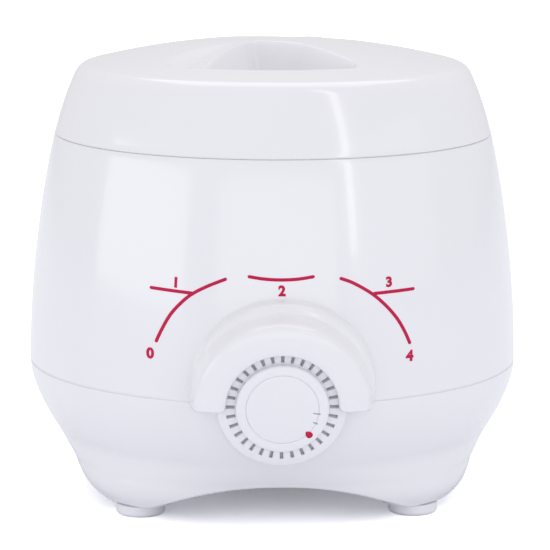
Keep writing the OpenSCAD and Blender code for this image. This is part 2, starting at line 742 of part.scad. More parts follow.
lid();
wax_pot();
upper_shell();
base_shell();
foot_front_left();
foot_front_right();
foot_back_left();
foot_back_right();
heating_bowl();
bowl_gasket();
bowl_screws();
heater_band();
clamp_screw();
insulation_sleeve();
thermostat();
thermostat_shaft();
thermostat_screws();
sensor_bulb();
capillary_tube();
bulb_clip();
dial_knob();
dial_cap();
dial_clip();
thermal_fuse();
fuse_bracket();
fuse_nut();
terminal_block();
terminal_screws();
cord_gland();
gland_nut();
case_screws();
live_wire();
switched_wire();
fused_wire();
neutral_wire();
earth_wire();
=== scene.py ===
# %% [markdown]
# # A wax warmer
# The warmer is a round white housing on four feet, with a domed lid, a hood over a heat dial at the
# front, and a metal pot inside. This script dresses the solid model and keeps to its overall size:
# each visible moulding is rebuilt with soft edges, and every part gets a finish.
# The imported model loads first, so that each new piece can be set where the solid part lies.

# %% Load the solid model
import json
import math
import bpy
import bmesh
import numpy as np
from mathutils import Matrix, Vector

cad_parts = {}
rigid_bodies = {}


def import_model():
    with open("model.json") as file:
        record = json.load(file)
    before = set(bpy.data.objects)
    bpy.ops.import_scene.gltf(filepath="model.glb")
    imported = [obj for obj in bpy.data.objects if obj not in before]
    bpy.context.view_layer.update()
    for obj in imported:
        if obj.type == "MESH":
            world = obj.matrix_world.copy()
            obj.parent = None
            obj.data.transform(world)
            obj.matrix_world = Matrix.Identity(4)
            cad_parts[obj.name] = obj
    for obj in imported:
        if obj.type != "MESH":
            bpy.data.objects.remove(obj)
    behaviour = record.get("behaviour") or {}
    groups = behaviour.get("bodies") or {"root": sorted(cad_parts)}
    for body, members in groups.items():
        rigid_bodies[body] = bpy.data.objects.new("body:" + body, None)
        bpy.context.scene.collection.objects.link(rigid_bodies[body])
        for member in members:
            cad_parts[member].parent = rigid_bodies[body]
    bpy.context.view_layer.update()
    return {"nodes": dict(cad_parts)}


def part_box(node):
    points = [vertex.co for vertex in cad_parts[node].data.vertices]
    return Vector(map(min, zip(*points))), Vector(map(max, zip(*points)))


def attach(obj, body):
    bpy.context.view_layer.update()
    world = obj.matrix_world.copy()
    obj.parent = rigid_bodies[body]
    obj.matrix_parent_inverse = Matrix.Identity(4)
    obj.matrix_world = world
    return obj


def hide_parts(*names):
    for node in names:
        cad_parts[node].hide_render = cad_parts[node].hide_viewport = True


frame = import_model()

scene = bpy.context.scene
print("parts in the model:", len(frame["nodes"]))

# %% [markdown]
# ## Where things lie
# The sizes are worked out in millimetres around the body's own upright axis, as a designer draws
# them, and turned into metres at the last step. The axis lies a little behind the origin, so its
# place is read from the lid, which is round.

# %% Axis and sizes
MM = 0.001
lid_low, lid_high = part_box("lid")
AXIS_Y = (lid_low.y + lid_high.y) / 2
BASE_SEAM = 48.0
LID_SEAM = 132.0
BODY_R = 90.0
LID_R = 80.3
DOME_TOP = 166.0
print("body axis at y = %.5f m" % AXIS_Y)


def bezier(p, t):
    p = np.asarray(p, float)
    t = np.asarray(t, float)[:, None]
    return (1 - t) ** 3 * p[0] + 3 * (1 - t) ** 2 * t * p[1] + 3 * (1 - t) * t * t * p[2] + t ** 3 * p[3]


def ease(t):
    t = np.clip(t, 0.0, 1.0)
    return t * t * (3 - 2 * t)


def soft_max(a, b, k):
    blend = np.maximum(k - np.abs(a - b), 0.0) / k
    return np.maximum(a, b) + blend * blend * k / 4


def soft_min(a, b, k):
    return -soft_max(-a, -b, k)


# %% [markdown]
# ## Turning points into a piece
# A moulding here is a grid of points that closes on itself, written straight into a mesh. A
# modelling tool could sweep the same outline, but a grid written in code puts rows exactly where an
# edge is rounded, and the highlights on glossy plastic show every row that is missing.

# %% Mesh helpers
def to_scene(points):
    p = np.asarray(points, float) * MM
    p[:, 1] += AXIS_Y
    return p


def put(name, data):
    """A new object in the scene."""
    obj = bpy.data.objects.new(name, data)
    scene.collection.objects.link(obj)
    return obj


def mesh_from(name, points, faces):
    mesh = bpy.data.meshes.new(name)
    mesh.from_pydata([tuple(p) for p in points], [], [tuple(int(i) for i in f) for f in faces])
    return mesh


def plain_mesh(obj):
    """The mesh of an object once its modifiers or its letters are worked out."""
    bpy.context.view_layer.update()
    return bpy.data.meshes.new_from_object(obj.evaluated_get(bpy.context.evaluated_depsgraph_get()))


def piece_from(name, points, faces, merge=1e-6):
    mesh = mesh_from(name, to_scene(points), faces)
    bm = bmesh.new()
    bm.from_mesh(mesh)
    bmesh.ops.remove_doubles(bm, verts=bm.verts, dist=merge)
    loose = [v for v in bm.verts if not v.link_faces]
    bmesh.ops.delete(bm, geom=loose, context="VERTS")
    bmesh.ops.recalc_face_normals(bm, faces=bm.faces)
    open_edges = sum(1 for e in bm.edges if not e.is_manifold)
    for f in bm.faces:
        f.smooth = True
    bm.to_mesh(mesh)
    bm.free()
    print("%-18s %6d points, %6d faces, open edges %d"
          % (name, len(mesh.vertices), len(mesh.polygons), open_edges))
    return put(name, mesh)


def crisp(outline, hold=0.12):
    """Points set close beside each corner of an outline, so that smooth shading keeps its flats flat."""
    pts = [np.asarray(p, float) for p in outline]
    out = [pts[0]]
    for a, b, c in zip(pts, pts[1:], pts[2:]):
        u, v = a - b, c - b
        lu, lv = np.linalg.norm(u), np.linalg.norm(v)
        turn = math.degrees(math.acos(max(-1, min(1, float(-(u @ v) / (lu * lv))))))
        if turn > 25:
            if lu > 3 * hold:
                out.append(b + u / lu * hold)
            out.append(b)
            if lv > 3 * hold:
                out.append(b + v / lv * hold)
        else:
            out.append(b)
    out.append(pts[-1])
    return np.array(out)


def smooth_line(points, per):
    """A smooth line through the points."""
    p = np.asarray(points, float)
    out = []
    for i in range(len(p) - 1):
        a, b, c, d = p[max(0, i - 1)], p[i], p[i + 1], p[min(len(p) - 1, i + 2)]
        for k in range(per):
            t = k / per
            out.append(0.5 * (2 * b + (c - a) * t + (2 * a - 5 * b + 4 * c - d) * t * t
                              + (3 * b - a - 3 * c + d) * t ** 3))
    out.append(p[-1])
    return np.array(out)


def grid_faces(rows, cols, close_rows=False, close_cols=True):
    faces = []
    for i in range(rows if close_rows else rows - 1):
        for j in range(cols if close_cols else cols - 1):
            a, b = i, (i + 1) % rows
            c, d = j, (j + 1) % cols
            faces.append((a * cols + c, a * cols + d, b * cols + d, b * cols + c))
    return faces


def round_angles(count):
    return np.arange(count) * 2 * math.pi / count


def lathe(outline, cols, closed=True):
    """Points and faces of an outline of [radius, height] spun around the upright axis."""
    a = round_angles(cols)
    o = np.asarray(outline, float)
    spun = [o[:, :1] * np.cos(a), o[:, :1] * np.sin(a), np.repeat(o[:, 1:2], cols, 1)]
    return np.stack(spun, -1).reshape(-1, 3), grid_faces(len(o), cols, close_rows=closed)


def capped_lathe(outline, cols):
    """An outline that starts and ends near the axis, spun and closed at both ends."""
    pts, faces = lathe(outline, cols, closed=False)
    faces += [tuple(range(cols))[::-1], tuple(range((len(outline) - 1) * cols, len(outline) * cols))]
    return pts, faces


def plate(outline, low, high):
    """A flat outline given a thickness."""
    n = len(outline)
    pts = [(x, y, z) for z in (low, high) for x, y in outline]
    faces = [tuple(range(n))[::-1], tuple(range(n, 2 * n))]
    faces += [(i, (i + 1) % n, n + (i + 1) % n, n + i) for i in range(n)]
    return pts, faces


# %% [markdown]
# ## The dial's own axes
# The dial leans 11 degrees towards the table. Its pieces and the hood around it are drawn on its own
# axes: across, up its face, and out along its spindle.

# %% Dial axes
TILT = math.radians(11)
DIAL_Y = 90.4
DIAL_Z = 49.0


def from_dial(across, up, out):
    across, up, out = np.broadcast_arrays(*(np.asarray(v, float) for v in (across, up, out)))
    return np.stack([across, -DIAL_Y - out * math.cos(TILT) - up * math.sin(TILT),
                     DIAL_Z - out * math.sin(TILT) + up * math.cos(TILT)], -1)


def dial_matrix():
    """Turns a mesh drawn in metres on the dial's axes into its place on the body."""
    c, s = math.cos(TILT), math.sin(TILT)
    turn = Matrix(((1, 0, 0, 0), (0, -s, -c, 0), (0, c, -s, 0), (0, 0, 0, 1)))
    return Matrix.Translation((0, AXIS_Y - DIAL_Y * MM, DIAL_Z * MM)) @ turn


print("dial centre:", from_dial(0, 0, 0))

# %% [markdown]
# ## Finishes as arithmetic
# A finish is a small program of nodes. Writing it as sums keeps it readable, so one small class
# wraps a socket and lets it be added, taken away, multiplied or divided, from either side. Any other
# node comes from one method that takes its kind, its settings and what goes into its sockets.

# %% Node helpers
def operator(kind, swapped=False):
    """An arithmetic sign that writes a Math node."""
    def write(value, other):
        pair = (other, value) if swapped else (value, other)
        return value.book.node("ShaderNodeMath", {"operation": kind}, dict(enumerate(pair)))
    return write


class Value:
    """What one socket puts out. Numbers take ordinary arithmetic, from either side."""

    def __init__(self, book, socket):
        self.book = book
        self.socket = socket

    __add__, __radd__ = operator("ADD"), operator("ADD", True)
    __sub__, __rsub__ = operator("SUBTRACT"), operator("SUBTRACT", True)
    __mul__, __rmul__ = operator("MULTIPLY"), operator("MULTIPLY", True)
    __truediv__, __rtruediv__ = operator("DIVIDE"), operator("DIVIDE", True)
    __pow__, __rpow__ = operator("POWER"), operator("POWER", True)


class Shader:
    """A tree of shading nodes under construction."""

    def __init__(self, tree, ending):
        self.tree = tree
        self.tree.nodes.clear()
        self.output = self.tree.nodes.new(ending)

    def node(self, kind, settings=None, inputs=None, out=0):
        n = self.tree.nodes.new(kind)
        for key, value in (settings or {}).items():
            setattr(n, key, value)
        for key, value in (inputs or {}).items():
            if isinstance(value, Value):
                self.tree.links.new(value.socket, n.inputs[key])
            else:
                n.inputs[key].default_value = value
        return Value(self, n.outputs[out])

    def end(self, shader):
        self.tree.links.new(shader.socket, self.output.inputs["Surface"])

    def end_by_ray(self, others, camera):
        """Ends in one shader for the camera's own rays and another for all the others."""
        straight = self.node("ShaderNodeLightPath", out="Is Camera Ray")
        self.end(self.node("ShaderNodeMixShader", {}, {0: straight, 1: others, 2: camera}))


class Finish(Shader):
    """A material under construction."""

    def __init__(self, name):
        self.material = bpy.data.materials.new(name)
        self.material.use_nodes = True
        super().__init__(self.material.node_tree, "ShaderNodeOutputMaterial")

    def place(self):
        return self.node("ShaderNodeTexCoord", out="Object")

    def noise(self, scale, detail, rough=0.5, stretch=None):
        where = self.place()
        if stretch:
            where = self.node("ShaderNodeMapping", {}, {"Vector": where, "Scale": stretch})
        return self.node("ShaderNodeTexNoise", {}, {"Vector": where, "Scale": scale, "Detail": detail,
                                                    "Roughness": rough}, "Fac")

    def tint(self, low, high, amount):
        return self.node("ShaderNodeMix", {"data_type": "RGBA"},
                         {0: amount, 6: (*low, 1.0), 7: (*high, 1.0)}, 2)

    def bump(self, height, distance):
        return self.node("ShaderNodeBump", {}, {"Height": height, "Distance": distance, "Strength": 1.0})

    def surface(self, **inputs):
        named = {key.replace("_", " "): value for key, value in inputs.items()}
        self.end(self.node("ShaderNodeBsdfPrincipled", {}, named))
        return self.material


def wear(obj, *materials):
    obj.data.materials.clear()
    for m in materials:
        obj.data.materials.append(m)


# %% [markdown]
# ## White moulded plastic
# The housing is injection-moulded ABS, polished in the mould. It is a cool white with a slight lilac
# cast, glossy, with the faint ripple that a large moulding takes as it cools. A flat white would do
# from far off. Here slow noise moves the tint a little, finer noise moves the gloss, and a very
# shallow bump bends the long reflections.

# %% White plastic
def white_plastic(name, low, high, gloss):
    f = Finish(name)
    cloud = f.noise(14.0, 2.0)
    fine = f.noise(900.0, 2.0)
    swell = f.noise(45.0, 1.0)
    return f.surface(Base_Color=f.tint(low, high, cloud), Roughness=gloss + fine * 0.04 + cloud * 0.03,
                     Normal=f.bump(swell + fine * 0.02, 0.00002), IOR=1.5,
                     Coat_Weight=0.35, Coat_Roughness=0.06)


shell_white = white_plastic("shell_white", (0.815, 0.81, 0.845), (0.84, 0.835, 0.87), 0.14)
knob_white = white_plastic("knob_white", (0.815, 0.81, 0.85), (0.84, 0.835, 0.875), 0.2)
print("white plastic ready")

# %% [markdown]
# ## The other finishes
# Each has the detail that its real one shows at arm's length: spun and brushed metal, rubber with a
# fine grain, woven insulation, cast ceramic, copper that has begun to dull, and flexible wire
# covers. They are all noise and waves on the part's own coordinates.

# %% Metals
def brushed(name, colour, gloss, streak=(1.0, 1.0, 14.0), scale=60.0):
    f = Finish(name)
    lines = f.noise(scale, 4.0, 0.6, stretch=streak)
    patch = f.noise(18.0, 2.0)
    dark = tuple(c * 0.86 for c in colour)
    return f.surface(Base_Color=f.tint(dark, colour, patch * 0.6 + lines * 0.4), Metallic=1.0,
                     Roughness=gloss + lines * 0.12 + patch * 0.05, Normal=f.bump(lines, 0.00002))


pot_metal = brushed("pot_metal", (0.80, 0.81, 0.82), 0.20)
bowl_metal = brushed("bowl_metal", (0.70, 0.71, 0.73), 0.32)
steel = brushed("steel", (0.62, 0.62, 0.64), 0.25, (1.0, 1.0, 1.0), 400.0)
heater_metal = brushed("heater_metal", (0.55, 0.53, 0.50), 0.38)
copper = brushed("copper", (0.78, 0.42, 0.28), 0.28, (1.0, 1.0, 1.0), 300.0)
brass = brushed("brass", (0.78, 0.62, 0.30), 0.26, (1.0, 1.0, 1.0), 300.0)


# %% Rubber, plastics and insulation
def grained(name, low, high, gloss, scale, depth, shine=0.5):
    f = Finish(name)
    grain = f.noise(scale, 3.0, 0.6)
    patch = f.noise(25.0, 2.0)
    return f.surface(Base_Color=f.tint(low, high, patch), Roughness=gloss + grain * 0.15,
                     Normal=f.bump(grain, depth), Specular_IOR_Level=shine)


foot_rubber = grained("foot_rubber", (0.80, 0.80, 0.84), (0.85, 0.85, 0.89), 0.42, 1500.0, 0.00003)
seal_rubber = grained("seal_rubber", (0.42, 0.10, 0.08), (0.50, 0.13, 0.10), 0.50, 1200.0, 0.00004)
black_nylon = grained("black_nylon", (0.018, 0.018, 0.020), (0.03, 0.03, 0.033), 0.38, 900.0, 0.00003)
terminal_plastic = grained("terminal_plastic", (0.66, 0.65, 0.60), (0.74, 0.73, 0.68), 0.35, 700.0, 0.00002)
ceramic = grained("ceramic", (0.62, 0.58, 0.48), (0.72, 0.68, 0.58), 0.48, 500.0, 0.00006)


def woven(name, low, high):
    f = Finish(name)
    where = f.place()
    warp = f.node("ShaderNodeTexWave", {"bands_direction": "Z"}, {"Vector": where, "Scale": 180.0}, "Fac")
    weft = f.node("ShaderNodeTexWave", {"bands_direction": "DIAGONAL"},
                  {"Vector": where, "Scale": 150.0}, "Fac")
    thread = warp * weft
    return f.surface(Base_Color=f.tint(low, high, thread), Roughness=0.85 + thread * 0.1,
                     Normal=f.bump(thread, 0.0003), Sheen_Weight=0.2)


insulation = woven("insulation", (0.60, 0.55, 0.42), (0.80, 0.76, 0.64))


def wire_cover(name, colour):
    return grained(name, tuple(c * 0.8 for c in colour), colour, 0.40, 1100.0, 0.00002)


wire_brown = wire_cover("wire_brown", (0.17, 0.07, 0.03))
wire_black = wire_cover("wire_black", (0.03, 0.03, 0.035))
wire_blue = wire_cover("wire_blue", (0.04, 0.13, 0.45))
wire_green = wire_cover("wire_green", (0.12, 0.36, 0.08))
print("finishes:", len(bpy.data.materials))

# %% [markdown]
# ## The lid
# The lid is one moulding. Its side leans in to a rounded shoulder, the top is a low dome, and two
# finger wells are sunk into it on either side of an S-shaped grip. A lid could be sculpted, but
# every surface here has a rule: the dome and the wells are heights over the same plan. So the top is
# one sheet of heights, in which a soft minimum rounds the lips and a soft maximum rounds the floors.

# %% Heights of the lid's top
DOME_EDGE = 68.0
WELL_FLOOR = 151.0
GRIP_BACK = 2.0
LIP_R = 56.5
LID_WALL = 2.4

def dome(r):
    return DOME_TOP - r * r / 550.0


def beside_ridge(x, y):
    """Distance to the left of the ridge, which is a slow curve over the plan."""
    return np.hypot(x - 167.5, y + 104.6) - 201.3


def wall(outside, reach, power):
    """Height over the well's floor, for a distance outside the line where its wall ends."""
    return 14.0 * (np.maximum(outside + reach, 0.0) / reach) ** power


def well_heights(x, y, grow):
    """Height of one finger well over the plan. It is very high where there is no well."""
    back = soft_max(np.hypot(x + 12.1, y + 47.1) - 40.0, 0.83 * (x - 10.5) + 0.56 * (y + 15.1), 1.6)
    around = soft_max(beside_ridge(x, y), back, 3.5) - grow
    front = np.hypot(x, y) - LIP_R - grow
    return WELL_FLOOR - grow + soft_max(wall(around, 9.0, 2.8), wall(front, 9.0, 2.6), 2.5)


def pan_depth(x, y):
    """The shallow round hollow on the other side of the ridge."""
    inside = ease((37.5 - np.hypot(x + 5.0, y + 45.0)) / 12.0)
    return 2.6 * inside * ease((beside_ridge(x, y) - 0.2) / 8.5) * ease((LIP_R + 0.4 - np.hypot(x, y)) / 3.5)


def lid_heights(x, y, grow=0.0):
    z = dome(np.hypot(x, y)) - grow
    both = [(side * x, side * (y - GRIP_BACK) + GRIP_BACK) for side in (1, -1)]
    for u, v in both:
        z = z - pan_depth(u, v)
    for u, v in both:
        in_well = ease((-beside_ridge(u, v) - 6.0) / 14.0)
        roundness = 1.3 + 3.1 * in_well * ease((LIP_R - 1 - np.hypot(u, v)) / 4.0)
        z = soft_min(z, np.minimum(well_heights(u, v, grow), 200.0), roundness)
    return z


# %% Build the lid
def build_lid():
    cols = 480
    angle = round_angles(cols)
    rings = np.concatenate([[0.01, 1.0, 2.2], np.arange(3.2, 8.0, 0.8), np.arange(8.4, 60.0, 0.5),
                            np.arange(60.8, DOME_EDGE, 1.4)])
    edge = (DOME_EDGE, dome(DOME_EDGE))
    edge_in = (65.6, dome(DOME_EDGE) - LID_WALL)
    shoulder = bezier([(73.1, 153), (72.1, 155.4), (70.7, 157), edge], np.linspace(1, 0, 10))
    side = bezier([(LID_R, LID_SEAM), (78.4, 139.5), (76.1, 146.5), (73.1, 153)],
                  np.linspace(1, 0.03, 12))[1:]
    rim = crisp([side[-1], (LID_R - 0.05, 132.45), (LID_R - 0.35, 132.08), (LID_R - 0.7, 132.0),
                 (77.2, 132.0), (77.2, 128.1), (76.6, 127.5), (75.0, 127.5), (75.0, 134.0),
                 (77.4, 134.0)])[1:]
    side_in = bezier([(LID_R - LID_WALL, LID_SEAM), (76.0, 139.5), (73.7, 146.5), (70.7, 153)],
                     np.linspace(0.3, 1, 6))
    shoulder_in = bezier([(70.7, 153), (69.7, 154), (68.3, 154.8), edge_in], np.linspace(0.2, 1, 5))
    rows = []
    for r in rings:
        x, y = r * np.cos(angle), r * np.sin(angle)
        rows.append(np.stack([x, y, lid_heights(x, y)], -1))
    for r, z in np.concatenate([shoulder, side, rim, side_in, shoulder_in]):
        rows.append(np.stack([r * np.cos(angle), r * np.sin(angle), np.full(cols, z)], -1))
    for r in np.concatenate([np.arange(64.5, 1.0, -2.2), [0.01]]):
        x, y = r * np.cos(angle), r * np.sin(angle)
        rows.append(np.stack([x, y, lid_heights(x, y, LID_WALL)], -1))
    points = np.concatenate(rows)
    faces = grid_faces(len(rows), cols)
    first, last = list(range(cols)), list(range((len(rows) - 1) * cols, len(rows) * cols))
    faces += [first, last[::-1]]
    return piece_from("lid_moulding", points, faces)


lid_moulding = build_lid()
wear(lid_moulding, shell_white)
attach(lid_moulding, "lid")
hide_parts("lid")

# %% [markdown]
# ## The upper shell and its hood
# The upper shell is a barrel, and the hood over the dial is moulded on to it. A soft outer step runs
# round the hood's top and fades out at its sides. The barrel alone is a plain sweep. The hood could
# be joined by a boolean, but that leaves a hard line where the real moulding has a fillet. So the
# front of the barrel is opened and filled with rings around the dial: near the dial they follow the
# hood's outline, and further out they relax into the barrel's own grid. The holes for the bowl's
# screws, which the solid model has, are left out here: each screw runs into a whole wall.

# %% Shape of the barrel and the hood
SHELL_WALL = 2.6
side_curve = bezier([(BODY_R, BASE_SEAM), (BODY_R, 79), (85, 113), (LID_R, LID_SEAM)],
                    np.linspace(0, 1, 400))


def side_r(z):
    return np.interp(z, side_curve[:, 1], side_curve[:, 0])


def shell_out(across, up, inset=0.0):
    """How far out along the dial's axis the barrel lies, for a place on the dial's face."""
    low, high = np.full(np.shape(across), -60.0), np.full(np.shape(across), 8.0)
    for _ in range(40):
        mid = (low + high) / 2
        p = from_dial(across, up, mid)
        outside = np.hypot(p[..., 0], p[..., 1]) > side_r(p[..., 2]) - inset
        high = np.where(outside, mid, high)
        low = np.where(outside, low, mid)
    return (low + high) / 2


HOOD = smooth_line([(19.5, 5.1), (20.3, 6.0), (22.8, 6.36), (25.5, 5.95), (28.2, 5.1), (29.5, 4.2),
                    (30.3, 2.3), (30.9, -1.0), (31.4, -4.0)], 6)
HOOD_LINE = np.concatenate([HOOD, [(32.0, -9.0), (40.0, -60.0)]])
STEP_LINE = smooth_line([(20.0, -2.9), (28.6, -3.2), (30.4, -3.9), (31.6, -5.4), (32.2, -7.6),
                         (32.6, -11.0), (36.5, -40.0)], 6)
HOOD_IN = np.array([(20.2, 3.9), (22.6, 3.9), (22.95, 3.5), (23.0, 0.0), (23.0, -5.0), (23.6, -5.8),
                    (28.7, -8.0)])
FLAT_RING = 38.0


def hood_out(rho, phi):
    """Height of the hood. Its lower step is a round set a little higher, so it fades out at the sides."""
    across, up = rho * np.cos(phi), rho * np.sin(phi)
    hood = np.interp(rho, HOOD_LINE[:, 0], HOOD_LINE[:, 1])
    step = np.interp(np.hypot(across - 0.7, up - 2.4), STEP_LINE[:, 0], STEP_LINE[:, 1])
    return soft_max(soft_max(hood, step, 1.3), shell_out(across, up), 1.3)


def lowest_angle(rho, height_at):
    """The angle at which a ring around the dial meets the hood's lower edge.

    The edge lies on the seam where the hood leaves the barrel. It hangs a little lower further out,
    and rises in a round corner next to the dial.
    """
    corner = 2.4 - 2.4 * math.sqrt(1 - min(1.0, max(0.0, (22.0 - rho) / 2.5)) ** 2)
    phi = 0.0
    for _ in range(12):
        out = float(height_at(rho, phi))
        clear = out - float(shell_out(rho * math.cos(phi), rho * math.sin(phi)))
        drop = 1.1 * ease((clear - 0.4) / 2.2)
        up = (BASE_SEAM + corner - drop - DIAL_Z + out * math.sin(TILT)) / math.cos(TILT)
        phi = math.asin(max(-1, min(1, up / rho)))
    return phi


# %% Build the upper shell
def build_upper_shell():
    cols, half, up_rows, step = 360, 35, 37, 1.4
    zs = [BASE_SEAM + step * i for i in range(up_rows + 1)]
    outer = [(float(side_r(z)), z) for z in zs + list(np.arange(zs[-1] + 2, 130.6, 2.0))]
    rim = crisp([outer[-1], (LID_R + 0.12, 131.4), (LID_R - 0.1, 131.8), (LID_R - 0.6, 132.0), (77.9, 132.0),
                 (77.6, 131.7), (77.6, 126.0), (58.9, 126.0), (58.6, 125.7), (58.6, 123.5), (79.0, 123.5),
                 (float(side_r(118)) - SHELL_WALL, 118.0)])[1:]
    inner = [(float(side_r(z)) - SHELL_WALL, z) for z in [112.0, 106.0] + zs[::-1]]
    rows = np.array(outer + list(rim) + inner)
    n = len(rows)
    alpha = np.radians(np.arange(cols))
    r, z = rows[:, :1], np.repeat(rows[:, 1:2], cols, 1)
    pts = np.stack([r * np.sin(alpha), -r * np.cos(alpha), z], -1).reshape(-1, 3)
    faces = []
    for i in range(n):
        k = (i + 1) % n
        in_patch = i < up_rows or i >= n - 1 - up_rows
        for j in range(cols):
            if in_patch and (j < half or j >= cols - half):
                continue
            faces.append((i * cols + j, i * cols + (j + 1) % cols, k * cols + (j + 1) % cols, k * cols + j))

    def gap_edge(row):
        """The points round the gap in the front, up one side, across and down the other."""
        return ([row(i) * cols + half for i in range(up_rows)]
                + [row(up_rows) * cols + a % cols for a in range(half, -half, -1)]
                + [row(i) * cols + cols - half for i in range(up_rows, -1, -1)])

    out_edge, in_edge = gap_edge(lambda i: i), gap_edge(lambda i: n - 1 - i)
    points = [pts]
    count = len(pts)
    wide = len(out_edge)
    relax = 9

    def rings(edge, hood_rows, height_at):
        """Rings from the dial's opening out to the edge of the gap in the barrel."""
        nonlocal count
        p = pts[edge]
        d = p - from_dial(0, 0, 0)
        up_axis = np.array([0, -math.sin(TILT), math.cos(TILT)])
        up, across = d @ up_axis, d[:, 0]
        rho_b, phi_b = np.hypot(across, up), np.arctan2(up, across)
        phi_b = np.where(phi_b < -math.pi / 2, phi_b + 2 * math.pi, phi_b)
        share = (phi_b - phi_b[0]) / (phi_b[-1] - phi_b[0])
        ids = []
        for rho, out in hood_rows:
            fn = (lambda r, a, o=out: o) if out is not None else height_at
            low = lowest_angle(rho, fn)
            phi = low + share * (math.pi - 2 * low)
            height = np.full(wide, out) if out is not None else height_at(np.full(wide, rho), phi)
            points.append(from_dial(rho * np.cos(phi), rho * np.sin(phi), height))
            ids.append(list(range(count, count + wide)))
            count += wide
        last = hood_rows[-1][0]
        for k in range(1, relax):
            t = k / relax
            rho = (1 - t) * last + t * rho_b
            low = lowest_angle(float(rho[0]), height_at)
            phi = low + share * (math.pi - 2 * low)
            points.append(from_dial(rho * np.cos(phi), rho * np.sin(phi), height_at(rho, phi)))
            ids.append(list(range(count, count + wide)))
            count += wide
        ids.append(edge)
        return ids

    near = [(19.5, 3.9), (19.5, 4.3), (19.5, 4.8)] + [(float(r), None) for r in HOOD[:, 0]]
    near += [(float(r), None) for r in np.arange(31.6, 35.6, 0.22)]
    near += [(36.3, None), (37.1, None), (FLAT_RING, None)]

    outside = rings(out_edge, near, hood_out)
    reach = np.concatenate([[0], np.cumsum(np.hypot(*np.diff(HOOD_IN, axis=0).T))])
    inside_rows = [(float(np.interp(s, reach, HOOD_IN[:, 0])), float(np.interp(s, reach, HOOD_IN[:, 1])))
                   for s in np.linspace(0, reach[-1], len(near) // 2)]
    inside_rows += [(float(r), None) for r in np.linspace(29.2, FLAT_RING, len(near) - len(inside_rows))]
    inside = rings(in_edge, inside_rows,
                   lambda rho, phi: shell_out(rho * np.cos(phi), rho * np.sin(phi), SHELL_WALL))
    for ids in (outside, inside):
        for a, b in zip(ids, ids[1:]):
            for j in range(wide - 1):
                faces.append((a[j], a[j + 1], b[j + 1], b[j]))
    for j in range(wide - 1):
        faces.append((outside[0][j], outside[0][j + 1], inside[0][j + 1], inside[0][j]))
    for j in (0, wide - 1):
        for a, b, c, d in zip(outside, outside[1:], inside[1:], inside):
            faces.append((a[j], b[j], c[j], d[j]))
    return piece_from("upper_moulding", np.concatenate(points), faces)


upper_moulding = build_upper_shell()
wear(upper_moulding, shell_white)
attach(upper_moulding, "body")
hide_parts("upper_shell")

# %% [markdown]
# ## The base
# Below the seam the round body narrows to a waist and turns into a rounded square with four legs,
# and low arches between the legs let air in under it. The rule for the plan is a superellipse whose
# squareness grows towards the table, so each column of points can find its own lower end on the
# arches. That gives a clean rounded edge, where a boolean cut would leave a sharp one. The openings
# inside are left out here, and the solid model has them: the wall is whole where the dial's spindle,
# the thermostat with its screws and the cord gland pass, and so are the legs at the feet's plugs.
# The dial's pieces therefore run through this wall, behind the knob.

# %% Shape of the base
bowl_curve = bezier([(BODY_R, BASE_SEAM), (89.8, 39), (82.5, 26), (74.2, 15)], np.linspace(0, 1, 200))
leg_curve = bezier([(74.2, 15), (72.5, 11.5), (71.5, 6.5), (68, 4)], np.linspace(0, 1, 80))
base_line = np.concatenate([bowl_curve, leg_curve[1:]])[::-1]
ARCH_R, ARCH_TOP, LEG_Z = 104.0, 15.0, 4.0
FLOOR_LOW, FLOOR_TOP = 13.5, 16.5
FOOT_AT = 49.0


def plan_radius(z, q):
    a = np.interp(z, base_line[:, 1], base_line[:, 0])
    n = 2 + 0.95 * ease((24 - z) / 16)
    return a / (np.abs(np.cos(q)) ** n + np.abs(np.sin(q)) ** n) ** (1 / n)


def under_height(x, y):
    """Height of the underside: the legs' ends, or the arches between them."""
    arch = lambda d: ARCH_TOP - ARCH_R + np.sqrt(np.maximum(ARCH_R ** 2 - d * d, 0))
    return soft_max(soft_max(arch(x), arch(y), 0.5), np.full(np.shape(x), LEG_Z), 1.2)


# %% Build the base
def build_base():
    cols = 384
    q = round_angles(cols) + math.pi / cols
    edge = 1.0
    low = np.full(cols, 10.0)
    for _ in range(60):
        r = plan_radius(low + edge, q)
        low = low + 0.5 * (under_height((r - edge) * np.cos(q), (r - edge) * np.sin(q)) - low)
    rows = []

    def add(r, z):
        r, z = np.broadcast_to(r, (cols,)), np.broadcast_to(z, (cols,))
        rows.append(np.stack([r * np.cos(q), r * np.sin(q), z], -1))

    add(89.9, 48.0)
    add(89.97, 47.98)
    add(89.99, 47.93)
    for t in np.linspace(0.008, 1, 44):
        z = 48 + (low + edge - 48) * t
        add(plan_radius(z, q), z)
    foot = plan_radius(low + edge, q)
    for a in (25, 50, 75, 90):
        s, c = math.sin(math.radians(a)), math.cos(math.radians(a))
        add(foot - edge * (1 - c) - 0.15 * s, low + edge * (1 - s))
    start = foot - edge - 0.15
    for t in (0.3, 0.65, 0.97):
        r = start + (68.0 - start) * t
        add(r, under_height(r * np.cos(q), r * np.sin(q)))
    pocket = under_height(68 * np.cos(q), 68 * np.sin(q))
    add(68.0, pocket + 0.25)
    add(68.0, np.maximum(FLOOR_LOW - 0.2, pocket + 0.3))
    add(68.0, FLOOR_TOP)
    for z in (17.6, 22.0, 28.0, 36.0, 43.5):
        add(np.interp(z, base_line[:, 1], base_line[:, 0]) - SHELL_WALL, z)
    front = (np.abs(84.0 * np.cos(q)) < 33) & (np.sin(q) < 0)
    lip = np.where(front, 47.98, 50.5)
    add(84.8, 44.0)
    add(84.8, lip)
    add(87.0, lip)
    add(87.0, 47.96)
    return np.concatenate(rows), grid_faces(len(rows), cols, close_rows=True)


def placed(parts):
    """Several closed shells as one list of points and faces."""
    points, faces, count = [], [], 0
    for p, f in parts:
        points.append(np.asarray(p, float))
        faces += [tuple(i + count for i in face) for face in f]
        count += len(p)
    return np.concatenate(points), faces


